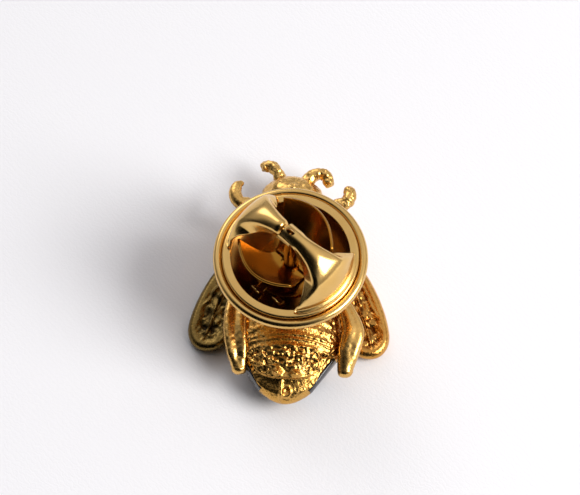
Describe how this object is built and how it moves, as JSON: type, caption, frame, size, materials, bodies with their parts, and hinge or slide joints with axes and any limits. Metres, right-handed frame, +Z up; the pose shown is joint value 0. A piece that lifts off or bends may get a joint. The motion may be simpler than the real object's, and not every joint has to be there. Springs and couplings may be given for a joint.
{
  "type": "bee tie tack",
  "caption": "Gold-plated bee lapel ornament lying on its back, with a pointed pin on its belly and a sprung butterfly clutch that slides on and off the pin.",
  "frame": {"origin": "middle of the object's length and width, at the lowest point of the bee as it lies on its back", "axes": "+Z up the pin, from the belly to the pin's point; +Y towards the bee's head; +X towards the bee's left wing as it lies, at the viewer's right"},
  "size_m": [0.0154, 0.02, 0.0127],
  "materials": {
    "bee_casting": "gold-plated casting, textured and softly polished",
    "wing_left": "gold-plated casting, textured inside a polished rim",
    "wing_right": "gold-plated casting, textured inside a polished rim",
    "enamel_band_1": "black glossy enamel",
    "enamel_band_2": "black glossy enamel",
    "enamel_band_3": "black glossy enamel",
    "post_pad": "gold-plated, polished",
    "post_pin": "gold-plated, polished",
    "clutch_base_cup": "gold-plated stamping, polished",
    "clutch_cap_ring": "gold-plated stamping, polished",
    "clutch_ear_left": "gold-plated stamping, polished",
    "clutch_ear_right": "gold-plated stamping, polished",
    "spring_base": "gold-plated spring strip",
    "spring_jaw_head_side": "gold-plated spring strip",
    "spring_jaw_tail_side": "gold-plated spring strip"
  },
  "bodies": {
    "tack": {"bee_casting": "bee_casting", "wing_left": "wing_left", "wing_right": "wing_right", "enamel_band_1": "enamel_band_1", "enamel_band_2": "enamel_band_2", "enamel_band_3": "enamel_band_3", "post_pad": "post_pad", "post_pin": "post_pin"},
    "clutch": {"clutch_base_cup": "clutch_base_cup"},
    "clutch_cap": {"clutch_cap_ring": "clutch_cap_ring", "spring_base": "spring_base"},
    "ear_left": {"clutch_ear_left": "clutch_ear_left"},
    "ear_right": {"clutch_ear_right": "clutch_ear_right"},
    "jaw_head_side": {"spring_jaw_head_side": "spring_jaw_head_side"},
    "jaw_tail_side": {"spring_jaw_tail_side": "spring_jaw_tail_side"}
  },
  "joints": [
    {"name": "clutch_slide", "type": "slide", "parent": "tack", "child": "clutch", "axis": [0, 0, 1], "range_m": [0, 0.008]},
    {"name": "clutch_spin", "type": "hinge", "parent": "clutch", "child": "clutch_cap", "pos_m": [0, -0.00101, 0.00827], "axis": [0, 0, 1], "continuous": true},
    {"name": "ear_right_squeeze", "type": "hinge", "parent": "clutch_cap", "child": "ear_right", "pos_m": [0.00322, -0.00371, 0.00872], "axis": [-0.6428, -0.766, 0], "range_deg": [0, 1.5], "stiffness_Nm_per_rad": 0.00005, "springref_deg": -4.58},
    {"name": "ear_left_squeeze", "type": "hinge", "parent": "clutch_cap", "child": "ear_left", "pos_m": [-0.00322, 0.00169, 0.00872], "axis": [0.6428, 0.766, 0], "range_deg": [0, 1.5], "stiffness_Nm_per_rad": 0.00005, "springref_deg": -4.58},
    {"name": "jaw_head_side_open", "type": "slide", "parent": "clutch_cap", "child": "jaw_head_side", "axis": [0.6428, 0.766, 0], "range_m": [0, 0.0003]},
    {"name": "jaw_tail_side_open", "type": "slide", "parent": "clutch_cap", "child": "jaw_tail_side", "axis": [-0.6428, -0.766, 0], "range_m": [0, 0.0003]}
  ],
  "couplings": [
    {"joint": "jaw_tail_side_open", "follows": "jaw_head_side_open", "ratio": 1},
    {"joint": "ear_right_squeeze", "follows": "jaw_head_side_open", "rad_per_m": 87.26},
    {"joint": "ear_left_squeeze", "follows": "jaw_head_side_open", "rad_per_m": 87.26}
  ]
}
